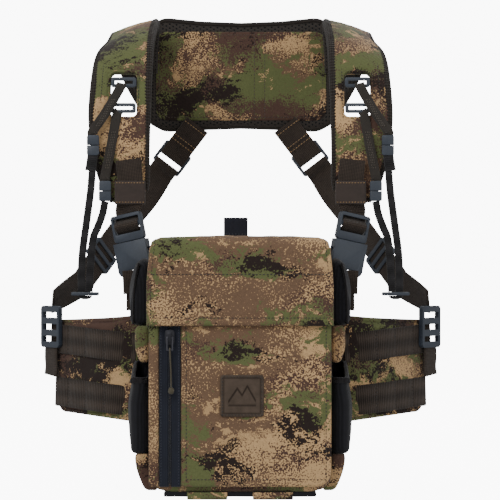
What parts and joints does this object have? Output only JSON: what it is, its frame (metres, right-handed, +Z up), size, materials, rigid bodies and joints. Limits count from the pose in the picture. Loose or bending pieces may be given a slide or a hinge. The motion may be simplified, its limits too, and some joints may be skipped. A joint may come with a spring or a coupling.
{
  "type": "binocular harness pack",
  "caption": "Chest pack for binoculars with a magnetic flap lid and zipped front, on a padded shoulder and back harness with side-release buckles, tethers and waist wings.",
  "frame": {"origin": "centre of the pack's flat chest-side face", "axes": "+Y out of the chest face towards the wearer, the pack's front faces -Y, +Z up, +X to the viewer's right when the front is seen"},
  "size_m": [0.404, 0.2938, 0.4826],
  "materials": {
    "camo_shell_fabric": "brushed camouflage-printed shell fabric",
    "camo_harness_fabric": "camouflage-printed harness fabric",
    "spacer_mesh": "black spacer mesh over foam",
    "lining_fabric": "plain lining",
    "stretch_fabric": "black stretch fabric",
    "zip_tape": "coated zip tape with nylon coil",
    "zip_metal": "black-enamelled zip slider and pull",
    "pull_cord": "braided cord",
    "patch_leather": "embossed leather patch",
    "magnet_steel": "plated magnet disc",
    "elastic": "ribbed black elastic",
    "keeper_elastic": "smooth brown elastic",
    "tab_fabric": "black tape",
    "buckle_plastic": "moulded acetal, satin",
    "webbing": "woven brown webbing"
  },
  "bodies": {
    "harness": {"base_loops": "camo_shell_fabric", "base_panel": "stretch_fabric", "body_magnets": "magnet_steel", "buckle_frame_left": "buckle_plastic", "buckle_frame_right": "buckle_plastic", "buckle_socket_left": "buckle_plastic", "buckle_socket_right": "buckle_plastic", "buckle_straps": "webbing", "chest_panel": "spacer_mesh", "clip_plugs": "buckle_plastic", "cross_webbing_lower": "webbing", "cross_webbing_upper": "webbing", "front_panel": "camo_shell_fabric", "front_strip": "camo_shell_fabric", "ladder_locks": "buckle_plastic", "pack_liner": "lining_fabric", "pack_shell": "camo_shell_fabric", "patch": "patch_leather", "pocket_cuffs": "camo_shell_fabric", "shoulder_pad_left": "camo_harness_fabric", "shoulder_pad_right": "camo_harness_fabric", "shoulder_webbing": "webbing", "side_gussets": "stretch_fabric", "side_panels": "camo_shell_fabric", "side_pockets": "stretch_fabric", "tether_hooks": "buckle_plastic", "tether_straps": "webbing", "webbing_tails": "webbing", "wing_adjuster_left": "buckle_plastic", "wing_adjuster_right": "buckle_plastic", "wing_left": "camo_harness_fabric", "wing_right": "camo_harness_fabric", "wing_webbing_left": "webbing", "wing_webbing_right": "webbing", "yoke_facing": "camo_harness_fabric", "yoke_mesh": "spacer_mesh", "yoke_panel": "camo_harness_fabric", "zip_tapes": "zip_tape"},
    "lid": {"lid_panel": "camo_shell_fabric", "lid_liner": "lining_fabric", "lid_tab": "tab_fabric", "lid_magnets": "magnet_steel"},
    "zip_slider": {"zip_slider": "zip_metal"},
    "zip_pull": {"zip_pull": "zip_metal", "zip_cord": "pull_cord", "zip_knot": "pull_cord"},
    "buckle_prong_outer_left": {"buckle_prong_outer_left": "buckle_plastic"},
    "buckle_prong_inner_left": {"buckle_prong_inner_left": "buckle_plastic"},
    "webbing_keeper_left": {"webbing_keeper_left": "keeper_elastic"},
    "tri_glide_left": {"tri_glide_left": "buckle_plastic"},
    "tether_left": {"clip_sockets_left": "buckle_plastic", "tether_elastic_left": "elastic", "tether_toggle_left": "buckle_plastic"},
    "buckle_prong_outer_right": {"buckle_prong_outer_right": "buckle_plastic"},
    "buckle_prong_inner_right": {"buckle_prong_inner_right": "buckle_plastic"},
    "webbing_keeper_right": {"webbing_keeper_right": "keeper_elastic"},
    "tri_glide_right": {"tri_glide_right": "buckle_plastic"},
    "tether_right": {"clip_sockets_right": "buckle_plastic", "tether_elastic_right": "elastic", "tether_toggle_right": "buckle_plastic"}
  },
  "joints": [
    {"name": "lid_hinge", "type": "hinge", "parent": "harness", "child": "lid", "pos_m": [0, -0.002, 0.118], "axis": [-1, 0, 0], "range_deg": [0, 100]},
    {"name": "zip_travel", "type": "slide", "parent": "harness", "child": "zip_slider", "axis": [0, 0, -1], "range_m": [0, 0.128]},
    {"name": "zip_pull_swing", "type": "hinge", "parent": "zip_slider", "child": "zip_pull", "pos_m": [-0.066, -0.0976, 0.028], "axis": [-1, 0, 0], "range_deg": [0, 90]},
    {"name": "buckle_squeeze_outer_left", "type": "hinge", "parent": "harness", "child": "buckle_prong_outer_left", "pos_m": [-0.11573, 0.00625, 0.1165], "axis": [-0.342, -0.9397, 0], "range_deg": [0, 8], "stiffness_Nm_per_rad": 0.02},
    {"name": "buckle_squeeze_inner_left", "type": "hinge", "parent": "harness", "child": "buckle_prong_inner_left", "pos_m": [-0.09917, 0.00022, 0.12015], "axis": [0.342, 0.9397, 0], "range_deg": [0, 8], "stiffness_Nm_per_rad": 0.02},
    {"name": "webbing_keeper_slide_left", "type": "slide", "parent": "harness", "child": "webbing_keeper_left", "axis": [0, 0, 1], "range_m": [0, 0.014]},
    {"name": "tri_glide_slide_left", "type": "slide", "parent": "harness", "child": "tri_glide_left", "axis": [-0.4822, -0.5224, -0.7032], "range_m": [-0.012, 0.012]},
    {"name": "tether_release_left", "type": "slide", "parent": "harness", "child": "tether_left", "axis": [0, 0, -1], "range_m": [0, 0.015]},
    {"name": "buckle_squeeze_outer_right", "type": "hinge", "parent": "harness", "child": "buckle_prong_outer_right", "pos_m": [0.11573, 0.00625, 0.1165], "axis": [-0.342, 0.9397, 0], "range_deg": [0, 8], "stiffness_Nm_per_rad": 0.02},
    {"name": "buckle_squeeze_inner_right", "type": "hinge", "parent": "harness", "child": "buckle_prong_inner_right", "pos_m": [0.09917, 0.00022, 0.12015], "axis": [0.342, -0.9397, 0], "range_deg": [0, 8], "stiffness_Nm_per_rad": 0.02},
    {"name": "webbing_keeper_slide_right", "type": "slide", "parent": "harness", "child": "webbing_keeper_right", "axis": [0, 0, 1], "range_m": [0, 0.014]},
    {"name": "tri_glide_slide_right", "type": "slide", "parent": "harness", "child": "tri_glide_right", "axis": [0.4822, -0.5224, -0.7032], "range_m": [-0.012, 0.012]},
    {"name": "tether_release_right", "type": "slide", "parent": "harness", "child": "tether_right", "axis": [0, 0, -1], "range_m": [0, 0.015]}
  ],
  "couplings": [
    {"joint": "buckle_squeeze_inner_left", "follows": "buckle_squeeze_outer_left", "ratio": 1},
    {"joint": "buckle_squeeze_inner_right", "follows": "buckle_squeeze_outer_right", "ratio": 1}
  ]
}
